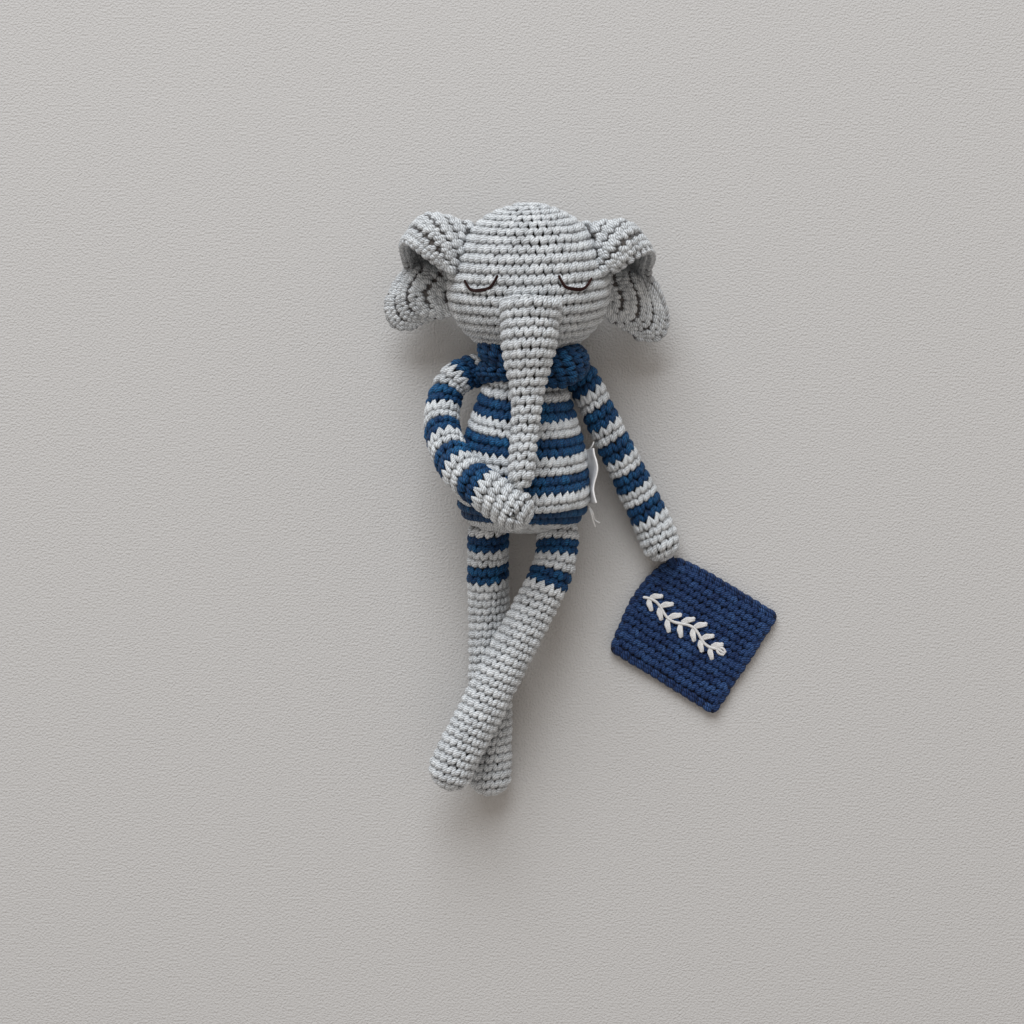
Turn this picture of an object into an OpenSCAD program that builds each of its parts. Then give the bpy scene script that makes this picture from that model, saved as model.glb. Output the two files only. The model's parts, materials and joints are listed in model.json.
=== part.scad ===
// Crocheted elephant doll lying on its back, with a striped jumper, a name tag in one hand and
// closed embroidered eyes. Millimetres. +Z is up out of the chest, +Y runs from the feet to the
// head, +X is the doll's own left. The origin is where the middle of the back rests.

/* [Head] */
// Largest radius of the head across its long axis
head_r = 32.5; // [32:0.1:33]
// Half the length of the head from chin to crown
head_half = 30.8; // [30.4:0.1:31]
// Height of the head's axis above the surface it lies on
head_z = 31.5; // [31.3:0.1:32]

/* [Body] */
// Height of the body's axis above the surface it lies on
body_z = 25; // [24.8:0.1:25.4]
// Thickness of the crocheted cover
cover = 2.4; // [2:0.1:2.8]
// Gap between a cover and the filling, and between two colours of yarn
seam_gap = 0.12; // [0.1:0.01:0.2]
// Play between a sewn limb and the hollow it sits in
play = 0.4; // [0.35:0.05:0.6]

/* [Trunk] */
// Radius of the trunk where it is sewn to the face
trunk_base_r = 11.5; // [11:0.1:11.6]
// Radius of the trunk's tip
trunk_tip_r = 5.4; // [5:0.1:5.5]

/* [Limbs] */
// Radius of an arm at the shoulder
arm_top_r = 6.7; // [6.4:0.1:6.8]
// Radius of a hand
hand_r = 8.1; // [7.6:0.1:8.2]
// Radius of a leg at the hip
leg_top_r = 8.5; // [8.2:0.1:8.6]
// Radius of a foot
foot_r = 8.8; // [8.4:0.1:8.9]
// Length of two rounds of crochet along a limb
stripe = 7.4; // [7.2:0.1:7.5]

/* [Ears] */
// Thickness of an ear
ear_t = 4.2; // [3.6:0.1:4.4]

/* [Tag and label] */
// Side of the square tag
tag_side = 48; // [44:1:49]
// Thickness of the tag
tag_t = 3.2; // [2.6:0.1:3.3]
// Width of the tag's edging
tag_edge = 4; // [3:0.5:5]
// Turn of the tag on the surface
tag_turn = -31.5; // [-34:0.5:-29]
// Width of the care label along the body's side
label_w = 22; // [18:1:24]
// Thickness of the thread in the closed eyes
eye_thread = 1.2; // [0.8:0.1:1.4]

/* [Hidden] */
$fn = 64;
sides = 12;            // facets round a limb
grey = [0.74, 0.74, 0.73];
blue = [0.13, 0.32, 0.5];
navy = [0.18, 0.22, 0.42];

// Body outline as [position along Y, radius]
body_outline = [[-36, 13], [-33, 20], [-28, 24.4], [-18, 26.4], [-9.5, 26.5], [0.5, 25.2],
                [8.5, 23.2], [16.5, 20.8], [25, 18.4], [30, 15.5], [34.6, 13.5]];
// Where the yarn changes colour, from the bottom of the body to the neck, blue and grey in turn
// starting with grey
body_edges = [-36, -30.8, -24.3, -18.2, -10.1, -4, 4, 10.5, 18.2, 25.5, 34.6];
head_at = [0.5, 67.7, head_z];
trunk_path = [[0.8, 47.5, 57], [0.6, 40, 57.6], [0.3, 31, 57.6], [0.2, 22, 57.6], [0, 12, 58],
              [-0.8, 2, 58.6], [-1.8, -5, 59.3], [-2.6, -10.2, 60]];
trunk_radii = [[0, trunk_base_r], [8, 11.1], [17, 9], [26, 6.9], [36, 5.6], [58, trunk_tip_r]];
arm_left_path = [[22.3, 29.2, 22.5], [27.6, 18.7, 20.5], [33.5, 6.9, 17.5], [40, -5.5, 13.5],
                 [46.4, -18.2, 10.5], [52.6, -30.9, 9], [56.5, -40.4, 8.6]];
arm_right_path = [[-21, 32.5, 22.5], [-27, 30, 24], [-31.5, 25, 24.5], [-33.6, 17.6, 26.5],
                  [-33.8, 9.5, 30.5], [-31.6, 2.1, 37.5], [-27.8, -5.4, 46], [-22.5, -12.3, 52.4],
                  [-15.5, -18, 57.2], [-7, -24, 59.2]];
arm_radii = [[0, arm_top_r], [20, 7], [60, 7.8], [75, hand_r]];
leg_left_path = [[12.5, -33.6, 22], [10.8, -45.8, 23.5], [5.5, -57.5, 25.2], [-1.4, -70.8, 26.6],
                 [-8.3, -83.5, 27.4], [-14.5, -95.5, 27.7], [-20.8, -108, 27.8],
                 [-26.8, -119.2, 27.8], [-30.3, -127, 27.7]];
leg_right_path = [[-15.5, -33.5, 18], [-15.8, -44, 15], [-15.6, -56, 11.5], [-15.4, -68, 9.5],
                  [-15.2, -82, 9], [-15, -100, 9], [-15, -118, 9], [-14.9, -131.6, 9]];
leg_radii = [[0, leg_top_r], [40, 8.5], [75, foot_r]];
tag_at = [70.5, -76.4, 0];
label_at = [26.8, -10, 23.5];
collar_at = [0, 0, 29];

// ---- paths -------------------------------------------------------------------------------
function span(p, i) = norm(p[i + 1] - p[i]);
function path_length(p, i = 0) = i >= len(p) - 1 ? 0 : span(p, i) + path_length(p, i + 1);
// Point at distance s along a path; before its start and past its end the path runs on straight
function along(p, s, i = 0) =
    (i >= len(p) - 2 || s <= span(p, i))
        ? p[i] + (p[i + 1] - p[i]) * s / span(p, i)
        : along(p, s - span(p, i), i + 1);
function unit(v) = v / norm(v);
function heading(p, s) = unit(along(p, s + 2) - along(p, s - 2));
function ring(centre, dir, r, n) =
    let (u = unit(cross(dir, [0, 0, 1])), v = cross(u, dir))
    [for (k = [0:n - 1]) centre + r * (u * cos(360 * k / n) + v * sin(360 * k / n))];

// Stations are [distance along the path, radius]
function stretch(radii, a, b, steps, inset) =
    [for (k = [0:steps]) let (s = a + (b - a) * k / steps) [s, lookup(s, radii) - inset]];
function dome(s, r, sign) = [for (a = [90:-25:10]) [s + sign * r * cos(a), r * sin(a)]];
function reversed(list) = [for (k = [len(list) - 1:-1:0]) list[k]];

// Solid through rings at the stations, joined end to end when looped, else capped flat
module skin(p, stations, looped, n = sides) {
    count = len(stations);
    rings = [for (st = stations) ring(along(p, st[0]), heading(p, st[0]), st[1], n)];
    walls = [for (i = [0:looped ? count - 1 : count - 2], k = [0:n - 1], half = [0, 1])
        let (j = (i + 1) % count, a = i * n + k, b = i * n + (k + 1) % n,
             c = j * n + k, d = j * n + (k + 1) % n)
        half == 0 ? [a, b, d] : [a, d, c]];
    caps = looped ? [] : [[for (k = [n - 1:-1:0]) k], [for (k = [0:n - 1]) (count - 1) * n + k]];
    polyhedron([for (r = rings, q = r) q], concat(walls, caps), convexity = 6);
}

// ---- limbs: a crocheted tube with round ends, in stripes, over a filling --------------------
module limb_band(p, radii, a, b) {
    steps = max(1, round((b - a) / 7));
    skin(p, concat(reversed(stretch(radii, a, b, steps, cover)), stretch(radii, a, b, steps, 0)), true);
}

module limb_start(p, radii, b) {
    r = radii[0][1];
    skin(p, concat(reversed(stretch(radii, 0, b, 1, cover)), dome(0, r - cover, -1),
                   reversed(dome(0, r, -1)), stretch(radii, 0, b, 1, 0)), true);
}

module limb_end(p, radii, a) {
    s = path_length(p);
    r = lookup(s, radii);
    steps = max(1, round((s - a) / 7));
    skin(p, concat(reversed(dome(s, r - cover, 1)), reversed(stretch(radii, a, s, steps, cover)),
                   stretch(radii, a, s, steps, 0), dome(s, r, 1)), true);
}

module limb_filling(p, radii) {
    s = path_length(p);
    inset = cover + 5 * seam_gap;
    skin(p, concat(reversed(dome(0, radii[0][1] - inset, -1)),
                   stretch(radii, 0, s, round(s / 5), inset),
                   dome(s, lookup(s, radii) - inset, 1)), false);
}

// Stripes from edge to edge, every second one starting at the given number
module limb_stripes(p, radii, edges, first) {
    for (i = [first:2:len(edges) - 2])
        limb_band(p, radii, edges[i] + seam_gap / 2, edges[i + 1] - seam_gap / 2);
}

arm_edges = [for (k = [0:9]) 1 + k * stripe];
leg_edges = [for (k = [0:3]) 1 + k * (stripe - 0.7)];

module arm_blue(p) {
    color(blue) limb_stripes(p, arm_radii, arm_edges, 0);
}

module arm_grey(p) {
    color(grey) {
        limb_start(p, arm_radii, arm_edges[0] - seam_gap / 2);
        limb_stripes(p, arm_radii, arm_edges, 1);
        limb_end(p, arm_radii, arm_edges[9] + seam_gap / 2);
    }
}

module leg_blue(p) {
    color(blue) limb_stripes(p, leg_radii, leg_edges, 0);
}

module leg_grey(p) {
    color(grey) {
        limb_start(p, leg_radii, leg_edges[0] - seam_gap / 2);
        limb_stripes(p, leg_radii, leg_edges, 1);
        limb_end(p, leg_radii, leg_edges[3] + seam_gap / 2);
    }
}

module stuffing(p, radii) {
    color("white") limb_filling(p, radii);
}

module arm_left_blue_rounds() { arm_blue(arm_left_path); }
module arm_left_grey_rounds() { arm_grey(arm_left_path); }
module arm_left_filling() { stuffing(arm_left_path, arm_radii); }
module arm_right_blue_rounds() { arm_blue(arm_right_path); }
module arm_right_grey_rounds() { arm_grey(arm_right_path); }
module arm_right_filling() { stuffing(arm_right_path, arm_radii); }
module leg_left_blue_rounds() { leg_blue(leg_left_path); }
module leg_left_grey_rounds() { leg_grey(leg_left_path); }
module leg_left_filling() { stuffing(leg_left_path, leg_radii); }
module leg_right_blue_rounds() { leg_blue(leg_right_path); }
module leg_right_grey_rounds() { leg_grey(leg_right_path); }
module leg_right_filling() { stuffing(leg_right_path, leg_radii); }

// ---- body: rings turned about its own axis, flat where it rests ----------------------------
function body_r(y) = lookup(y, body_outline);

// Stand a shape turned about Z along +Y instead
module along_y(at) {
    translate(at) rotate([-90, 0, 0]) children();
}

module above_surface() {
    intersection() {
        children();
        translate([-150, -200, 0]) cube([300, 400, 100]);
    }
}

// Hollow for a ball of radius r at a, left open towards b
module socket(a, b, r) {
    d = b - a;
    translate(a) sphere(r + play);
    translate(a) rotate([0, acos(d[2] / norm(d)), atan2(d[1], d[0])])
        cylinder(h = norm(d), r = r + play + 0.25);
}

// Hollows for the balls at the tops of the limbs
module arm_sockets() {
    socket(arm_left_path[0], along(arm_left_path, 10), arm_top_r + 0.2);
    socket(arm_right_path[0], along(arm_right_path, 10), arm_top_r + 0.2);
}

module limb_hollows() {
    arm_sockets();
    for (hip = [leg_left_path[0], leg_right_path[0]])
        socket(hip, hip - [0, 12, 0], leg_top_r + 0.3);
}

function outline_between(a, b, inset) =
    concat([[body_r(a) - inset, a]],
           [for (q = body_outline) if (q[0] > a + 0.3 && q[0] < b - 0.3) [q[1] - inset, q[0]]],
           [[body_r(b) - inset, b]]);

module body_band(a, b) {
    rotate_extrude() polygon(concat(outline_between(a, b, 0), reversed(outline_between(a, b, cover))));
}

module body_bottom(b) {
    bottom = body_outline[0][0];
    rotate_extrude() polygon(concat([[0, bottom]], outline_between(bottom, b, 0),
        [[body_r(b) - cover, b], [body_r(bottom + cover) - cover, bottom + cover],
         [0, bottom + cover]]));
}

module body_stripes(first) {
    above_surface() difference() {
        along_y([0, 0, body_z]) for (i = [first:2:len(body_edges) - 2])
            if (i == 0) body_bottom(body_edges[1] - seam_gap / 2);
            else body_band(body_edges[i] + seam_gap / 2, body_edges[i + 1] - seam_gap / 2);
        limb_hollows();
    }
}

module torso_grey_rounds() {
    color(grey) body_stripes(0);
}

module torso_blue_rounds() {
    color(blue) body_stripes(1);
}

module torso_filling() {
    inset = cover + seam_gap;
    color("white") intersection() {
        difference() {
            along_y([0, 0, body_z]) rotate_extrude()
                polygon(concat([[0, -33], [15.5, -33]], outline_between(-30.5, 34, inset), [[0, 34]]));
            limb_hollows();
        }
        translate([-150, -200, inset]) cube([300, 400, 100]);
    }
}

// ---- collar ------------------------------------------------------------------------------
module collar_band() {
    color(blue) difference() {
        along_y([0, 0, body_z]) rotate_extrude()
            polygon([[body_r(29) + 0.4, 29], [18, 27.5], [20.6, 29.5], [20.4, 33.5], [17.5, 35.4],
                     [14.2, 35.2], [body_r(33) + 0.4, 33]]);
        arm_sockets();
        translate(head_at) sphere(head_r + play);
    }
}

// A fat rolled flap round the front of the neck, from behind the trunk to the shoulder
function lapel_path(side, r, from, to, y_front, y_side) =
    [for (k = [0:6]) let (t = k / 6, a = from + (to - from) * t)
        collar_at + [side * r * sin(a), y_front + (y_side - y_front) * t, r * cos(a)]];

module lapel(p, r) {
    s = path_length(p);
    radii = [[0, r], [s / 2, r + 0.6], [s, r - 0.6]];
    color(blue) skin(p, concat(reversed(dome(0, r, -1)), stretch(radii, 0, s, 5, 0),
                               dome(s, r - 0.6, 1)), false);
}

module collar_lapel_left() { lapel(lapel_path(1, 19, 33, 76, 27.8, 32.5), 4.5); }
module collar_lapel_right() { lapel(lapel_path(-1, 19.5, 30, 76, 28.5, 34), 4.6); }

// ---- head --------------------------------------------------------------------------------
function head_profile(inset) =
    [for (a = [-90:6:90]) [(head_r - inset) * cos(a), (head_half - inset) * sin(a)]];

module head_shape(inset) {
    along_y(head_at) rotate_extrude() polygon(head_profile(inset));
}

module trunk_socket() {
    socket(trunk_path[0], along(trunk_path, 10), trunk_base_r);
}

module head_cover() {
    color(grey) above_surface() difference() {
        head_shape(0);
        head_shape(cover);
        trunk_socket();
    }
}

module head_filling() {
    inset = cover + seam_gap;
    color("white") intersection() {
        difference() {
            head_shape(inset);
            trunk_socket();
        }
        translate([-150, -200, 1]) cube([300, 400, 100]);
    }
}

// Point just proud of the head's face over a place in plan
function on_face(x, y) =
    let (r = (head_r + eye_thread) * sqrt(1 - pow((y - head_at[1]) / (head_half + eye_thread), 2)))
    [x, y, head_z + sqrt(r * r - pow(x - head_at[0], 2))];

// Thread laid in a shallow bow across a closed eye
module eye(x, y) {
    half_w = 6.3;
    drop = 4.8;
    bow = [for (k = [-4:4]) on_face(x + half_w * k / 4, y - drop * (1 - pow(k / 4, 2)))];
    stations = [for (k = [0:8]) [path_length(bow) * k / 8, eye_thread / 2]];
    color([0.2, 0.12, 0.1]) skin(bow, stations, false, 6);
}

module eye_stitching_left() { eye(18, 65.2); }
module eye_stitching_right() { eye(-17.8, 64.5); }

// ---- trunk -------------------------------------------------------------------------------
module trunk_cover() {
    s = path_length(trunk_path);
    r = trunk_base_r;
    tip = trunk_tip_r;
    color(grey) difference() {
        skin(trunk_path, concat(reversed(dome(0, r, -1)), stretch(trunk_radii, 0, s, 9, 0),
                                dome(s, tip, 1)), false);
        skin(trunk_path, concat(reversed(dome(0, r - cover, -1)),
                                stretch(trunk_radii, 0, s, 9, cover), dome(s, tip - cover, 1)), false);
    }
}

module trunk_filling() {
    s = path_length(trunk_path);
    inset = cover + 3 * seam_gap;
    color("white")
        skin(trunk_path, concat(reversed(dome(0, trunk_base_r - inset, -1)), stretch(trunk_radii, 0, s, 9, inset),
                                dome(s, trunk_tip_r - inset, 1)), false);
}

// ---- ears: a thick sheet with its top folded forward ---------------------------------------
module sheet(points) {
    hull() for (q = points) translate(q) sphere(ear_t / 2, $fn = 12);
}

module ear(top, mid, low, brim) {
    color(grey) {
        sheet(concat([top[0], mid[0]], top));
        sheet(concat(mid, [top[len(top) - 1]]));
        sheet(concat([mid[1], mid[2]], low));
        sheet(brim);
    }
}

module ear_left() {
    ear([[33.5, 83, 36], [37, 89, 38], [45, 84, 36], [48, 78.5, 31]],
        [[36.2, 72, 34], [36.5, 56, 26], [53, 67, 17]],
        [[55, 58, 14.5], [54.5, 51.5, 14], [50.5, 49, 14], [43, 51, 16]],
        [[37, 88.5, 39], [45.5, 82, 38], [46.5, 78.5, 43], [39.5, 75, 45.5]]);
}

module ear_right() {
    ear([[-33, 83, 36], [-36, 90.5, 38], [-43, 88, 36], [-47.5, 81, 31]],
        [[-35.4, 74, 34], [-35.4, 60, 26], [-53, 69, 17]],
        [[-55.5, 62, 14.5], [-55.5, 56, 14], [-51.5, 54, 14], [-42, 56.5, 16]],
        [[-36, 89.5, 39], [-45, 84.5, 38], [-46, 79.5, 43], [-39, 74, 45.5]]);
}

// ---- care label on the side seam -----------------------------------------------------------
module label_ribbon() {
    thick = 1;
    color("white") translate([label_at[0], label_at[1] - label_w / 2, label_at[2]])
        rotate([-90, 0, 0]) linear_extrude(label_w)
            polygon([[0, 0], [thick, 0.6], [1.7, -3.4], [1.9, -8], [2.4, -11.6], [2.4 - thick, -11.8],
                     [1.9 - thick, -8.2], [1.7 - thick, -4]]);
}

module label_thread() {
    lower = [[27.6, -24.4, 24], [28.6, -27, 24.4], [28.8, -29.8, 22.5]];
    upper = [[27.6, 3.2, 24], [28.9, 5.2, 23.4]];
    color("white") for (p = [lower, upper])
        skin(p, [for (k = [0:3]) [path_length(p) * k / 3, 0.3]], false, 6);
}

// ---- tag ---------------------------------------------------------------------------------
module rounded_square(side, r) {
    square([side - 2 * r, side], center = true);
    square([side, side - 2 * r], center = true);
    for (x = [-1, 1], y = [-1, 1]) translate([x, y] * (side / 2 - r)) circle(r);
}

module on_tag() {
    translate(tag_at) rotate(tag_turn) children();
}

module tag_panel() {
    color(navy) on_tag() linear_extrude(tag_t)
        rounded_square(tag_side - 2 * tag_edge - 2 * seam_gap, 1.5);
}

module tag_edging() {
    color(navy) on_tag() linear_extrude(tag_t) difference() {
        rounded_square(tag_side, 4);
        rounded_square(tag_side - 2 * tag_edge, 1.5);
    }
}

// A stem in a slow wave with a leaf at each bend, sewn in white
module tag_sprig() {
    reach = 17;
    thread_r = 0.8;
    stem = [for (k = [-6:6]) [reach * k / 6, 1.6 * sin(k * 60), tag_t + thread_r + 0.05]];
    color("white") on_tag() {
        skin(stem, [for (k = [0:12]) [path_length(stem) * k / 12, thread_r]], false, 6);
        for (k = [-4:2:4], side = [-1, 1])
            translate([reach * k / 6, side * 4.6, tag_t + thread_r + 0.05]) rotate([90, 0, side * 30])
                cylinder(h = 4.6, r = thread_r, center = true);
    }
}

module tag_tie() {
    p = [[62.2, -47.6, tag_t + 3], [64, -48.6, tag_t + 2.2], [66, -50.4, tag_t + 1.3]];
    color(navy) skin(p, [for (k = [0:3]) [path_length(p) * k / 3, 1.1]], false, 8);
}

torso_blue_rounds();
torso_grey_rounds();
torso_filling();
collar_band();
collar_lapel_left();
collar_lapel_right();
head_cover();
head_filling();
eye_stitching_left();
eye_stitching_right();
trunk_cover();
trunk_filling();
ear_left();
ear_right();
arm_left_blue_rounds();
arm_left_grey_rounds();
arm_left_filling();
arm_right_blue_rounds();
arm_right_grey_rounds();
arm_right_filling();
leg_left_blue_rounds();
leg_left_grey_rounds();
leg_left_filling();
leg_right_blue_rounds();
leg_right_grey_rounds();
leg_right_filling();
label_ribbon();
label_thread();
tag_panel();
tag_edging();
tag_sprig();
tag_tie();
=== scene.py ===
"""Looks of a crocheted elephant doll lying on its back.

Every cover is laid stitch by stitch in cotton yarn over a stuffed inner form. Lengths are in
millimetres until a mesh is made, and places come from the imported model's joints and boxes.
"""
import json
import math

import bpy
import numpy as np
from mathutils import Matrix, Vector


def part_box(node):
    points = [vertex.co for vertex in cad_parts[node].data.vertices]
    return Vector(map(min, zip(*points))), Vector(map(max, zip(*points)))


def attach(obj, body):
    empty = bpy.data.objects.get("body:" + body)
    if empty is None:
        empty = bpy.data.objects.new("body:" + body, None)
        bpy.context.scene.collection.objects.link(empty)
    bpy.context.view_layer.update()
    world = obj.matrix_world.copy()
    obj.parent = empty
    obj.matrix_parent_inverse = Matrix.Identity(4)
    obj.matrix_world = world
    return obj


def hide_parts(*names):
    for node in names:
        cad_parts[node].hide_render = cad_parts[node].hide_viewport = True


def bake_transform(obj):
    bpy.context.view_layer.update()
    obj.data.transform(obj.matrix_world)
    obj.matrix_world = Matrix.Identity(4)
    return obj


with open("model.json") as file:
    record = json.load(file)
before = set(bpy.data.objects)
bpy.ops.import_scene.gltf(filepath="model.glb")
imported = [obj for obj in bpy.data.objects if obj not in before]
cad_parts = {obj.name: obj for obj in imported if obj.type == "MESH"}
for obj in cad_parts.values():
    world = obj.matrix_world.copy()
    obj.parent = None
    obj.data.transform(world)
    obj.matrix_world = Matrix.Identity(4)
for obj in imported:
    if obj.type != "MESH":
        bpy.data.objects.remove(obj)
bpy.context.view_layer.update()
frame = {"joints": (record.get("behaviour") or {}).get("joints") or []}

MM = 0.001
TAU = 2 * math.pi
JOINT = {j["name"]: np.array(j["pos_m"]) / MM for j in frame["joints"]}
rng = np.random.default_rng(7)


def node_box(node):
    """A CAD node's lowest and highest corners in millimetres."""
    low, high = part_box(node)
    return np.array(low) / MM, np.array(high) / MM


# ---- curves and surfaces -------------------------------------------------------------------
def smooth(points, count):
    """A Catmull-Rom curve through the points, sampled evenly in its parameter."""
    p = np.asarray(points, float)
    ends = np.vstack([2 * p[0] - p[1], p, 2 * p[-1] - p[-2]])
    t = np.linspace(0, len(p) - 1, count)
    i = np.minimum(t.astype(int), len(p) - 2)
    f = (t - i)[:, None]
    a, b, c, d = ends[i], ends[i + 1], ends[i + 2], ends[i + 3]
    return 0.5 * (2 * b + (c - a) * f + (2 * a - 5 * b + 4 * c - d) * f**2 + (3 * b - a - 3 * c + d) * f**3)


def unit(v):
    return v / np.maximum(np.linalg.norm(v, axis=-1, keepdims=True), 1e-9)


def run_length(points):
    """Distance along a polyline at each of its points."""
    steps = np.linalg.norm(np.diff(points, axis=0), axis=1)
    return np.concatenate([[0], np.cumsum(steps)])


def sample(x, table_x, table):
    """Linear interpolation of vector rows."""
    return np.stack([np.interp(x, table_x, column) for column in table.T], -1)


class Tube:
    """A surface turned about a path: a runs round it in turns from the back, b along its outline in mm.

    outline holds points (distance along the path, radius); the path runs on straight past its ends.
    """

    def __init__(self, path, outline, back, widths=(1, 1), warp=None):
        line = smooth(path, 300)
        self.s = run_length(line)
        self.line = line
        self.d = unit(np.gradient(line, axis=0))
        u = np.array(back, float)
        side = []
        for d in self.d:
            u = u - d * np.dot(u, d)
            u = u / np.linalg.norm(u)
            side.append(u)
        self.u = np.array(side)
        self.w = np.cross(self.d, self.u)
        profile = smooth(outline, 400)
        profile[:, 1] = np.maximum(profile[:, 1], 0)
        self.profile = profile
        self.m = run_length(profile)
        step = unit(np.gradient(profile, axis=0))
        self.normal = np.stack([-step[:, 1], step[:, 0]], -1)
        self.widths = widths
        self.warp = warp
        self.length = self.m[-1]

    def radius(self, b):
        return np.interp(b, self.m, self.profile[:, 1])

    def at_distance(self, s):
        """b of the outline at a distance along the path."""
        return np.interp(s, self.profile[:, 0], self.m)

    def turn_width(self, b):
        return TAU * np.maximum(self.radius(b), 0.3)

    def point(self, a, b, h):
        bc = np.clip(b, 0, self.length)
        sr = sample(bc, self.m, self.profile)
        nr = sample(bc, self.m, self.normal)
        s = sr[..., 0] + h * nr[..., 0]
        r = np.maximum(sr[..., 1] + h * nr[..., 1], 0.02)
        sc = np.clip(s, 0, self.s[-1])
        c, u, w, d = (sample(sc, self.s, t) for t in (self.line, self.u, self.w, self.d))
        c = c + (s - sc)[..., None] * d
        turn = a * TAU
        out = c + r[..., None] * (
            (np.cos(turn) * self.widths[0])[..., None] * u + (np.sin(turn) * self.widths[1])[..., None] * w)
        return self.warp(out) if self.warp else out


class Patch:
    """A sheet through a net of points: a runs along its rows and b across them, both from 0 to 1."""

    def __init__(self, net, along=90, across=50):
        net = np.asarray(net, float)
        rows = np.stack([smooth(r, along) for r in net])
        grid = np.stack([smooth(rows[:, k], across) for k in range(along)], 1)
        self.grid = grid
        da = np.gradient(grid, axis=1)
        db = np.gradient(grid, axis=0)
        self.normal = unit(np.cross(db, da))
        self.shape = grid.shape[:2]

    def _at(self, table, a, b):
        y = b * (self.shape[0] - 1)
        x = a * (self.shape[1] - 1)
        i = np.clip(np.floor(y).astype(int), 0, self.shape[0] - 2)
        j = np.clip(np.floor(x).astype(int), 0, self.shape[1] - 2)
        fy, fx = (y - i)[..., None], (x - j)[..., None]
        top = table[i, j] * (1 - fx) + table[i, j + 1] * fx
        low = table[i + 1, j] * (1 - fx) + table[i + 1, j + 1] * fx
        return top * (1 - fy) + low * fy

    def point(self, a, b, h):
        return self._at(self.grid, a, b) + np.asarray(h)[..., None] * unit(self._at(self.normal, a, b))


# ---- stitches ------------------------------------------------------------------------------
YARN = 0.86          # radius of the yarn
STITCH_W = 3.25      # width of a stitch
ROW = 3.7            # height of a row
INSET = 1.75         # how deep the yarn's feet lie below the outside of the fabric
STRAND_PACE = 0.62   # texture length from one ring of a strand to the next
SIDES = 8            # points round a strand
LEAN = 0.12          # how far each round starts past the one before, in stitches

# The legs of a stitch, each row of numbers a point of the yarn: across in stitch widths, down in
# row heights, out in yarn radii, thickness in yarn radii
LEG = np.array([
    [0.03, -0.46, -1.60, 0.50],
    [0.05, -0.28, -0.75, 0.78],
    [0.10, -0.06, 0.00, 0.98],
    [0.18, 0.18, 0.70, 1.14],
    [0.27, 0.40, 1.02, 1.24],
    [0.34, 0.60, 0.92, 1.24],
    [0.38, 0.77, 0.10, 1.08],
    [0.36, 0.88, -1.60, 0.70]])
SINGLE = [LEG * [-1, 1, 1, 1], LEG * [1, 1, 0.94, 1]]
# A stitch whose peak is drawn up over the round above, as where the yarn changes
PEAK = LEG + np.array([
    [-0.01, -0.08, 1.70, -0.10],
    [-0.01, -0.08, 1.80, -0.26],
    [-0.01, -0.06, 1.15, -0.22],
    [0.00, -0.02, 0.30, -0.08],
    [0, 0, 0, 0],
    [0, 0, 0, 0],
    [0, 0, 0, 0],
    [0, 0, 0, 0]])
PEAKED = [PEAK * [-1, 1, 1, 1], PEAK * [1, 1, 0.94, 1]]
# A shallower stitch, for rows worked to and fro
SHALLOW = LEG + np.array([
    [0, 0, 0.30, 0],
    [0, 0, 0.55, 0],
    [0, 0, 0.40, 0],
    [0, 0, 0.12, 0],
    [0, 0, 0, 0],
    [0, 0, -0.08, 0],
    [0, 0, -0.15, 0],
    [0, 0, 0, 0]])
FLAT = [SHALLOW * [-1, 1, 1, 1], SHALLOW * [1, 1, 0.94, 1]]
LINK = np.array([
    [-0.62, 0.02, -0.90, 0.55],
    [-0.42, 0.16, 0.05, 0.85],
    [-0.14, 0.27, 0.55, 1.02],
    [0.16, 0.29, 0.70, 1.08],
    [0.44, 0.22, 0.45, 1.00],
    [0.66, 0.10, -0.10, 0.80],
    [0.80, 0.03, -0.90, 0.55]])
CHAIN = [LINK, LINK * [1, -1, 1, 1]]


def lay(surface, a, b, wide, tall, legs=SINGLE, slant=0.1, yarn=YARN, face=1, lift=0.0):
    """Yarn of stitches whose tops are at (a, b): rings of points as (strand, along, round, xyz), one
    random tone per strand, and for each ring an amount of painted shade from 0 to 1, more the further
    in it lies between its neighbours. face is -1 on the far side of a sheet, and lift is how far the
    yarn stands off its middle."""
    rings, tones, crease_shades = [], [], []
    count = len(a)
    shift = rng.normal(0, 0.045, count)
    drop = rng.normal(0, 0.03, count)
    rise = rng.normal(0, 0.12, count)
    fat = 1 + rng.normal(0, 0.07, count)
    tone = rng.normal(0, 1, count)
    for leg in legs:
        across, down, out, thick = leg.T
        aa = a[:, None] + (across + slant * down + shift[:, None]) * wide[:, None]
        bb = b[:, None] + (down + drop[:, None]) * tall[:, None]
        hh = face * (lift + (out + rise[:, None]) * yarn)
        middle = surface.point(aa, bb, hh)
        normal = unit(surface.point(aa, bb, hh + 0.2 * face) - middle)
        along = unit(np.gradient(middle, axis=1))
        side = unit(np.cross(along, normal))
        up = np.cross(side, along)
        turn = np.arange(SIDES) * TAU / SIDES
        r = (thick * yarn * fat[:, None])[..., None, None]
        ring = middle[:, :, None] + r * (
            np.cos(turn)[:, None] * side[:, :, None] + 0.92 * np.sin(turn)[:, None] * up[:, :, None])
        rings.append(ring)
        tones.append(tone + rng.normal(0, 0.5, count))
        # painted shade: the further in a ring lies, the more it is mixed towards the yarn's dark shade colour
        crease_shades.append(np.clip((0.9 - out) / 1.4, 0, 1))
    return rings, tones, crease_shades


def thread(points, radius):
    """One plain strand along a curve, as lay() gives it."""
    line = smooth(points, 6 * len(points))
    along = unit(np.gradient(line, axis=0))
    side = unit(np.cross(along, [0.11, 0.07, 0.99]))
    up = np.cross(side, along)
    turn = np.arange(SIDES) * TAU / SIDES
    taper = np.ones(len(line))
    taper[[0, -1]] = 0.55
    ring = line[:, None] + (radius * taper)[:, None, None] * (
        np.cos(turn)[:, None] * side[:, None] + np.sin(turn)[:, None] * up[:, None])
    return [ring[None]], [rng.normal(0, 1, 1)], [np.zeros(len(line))]


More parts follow.
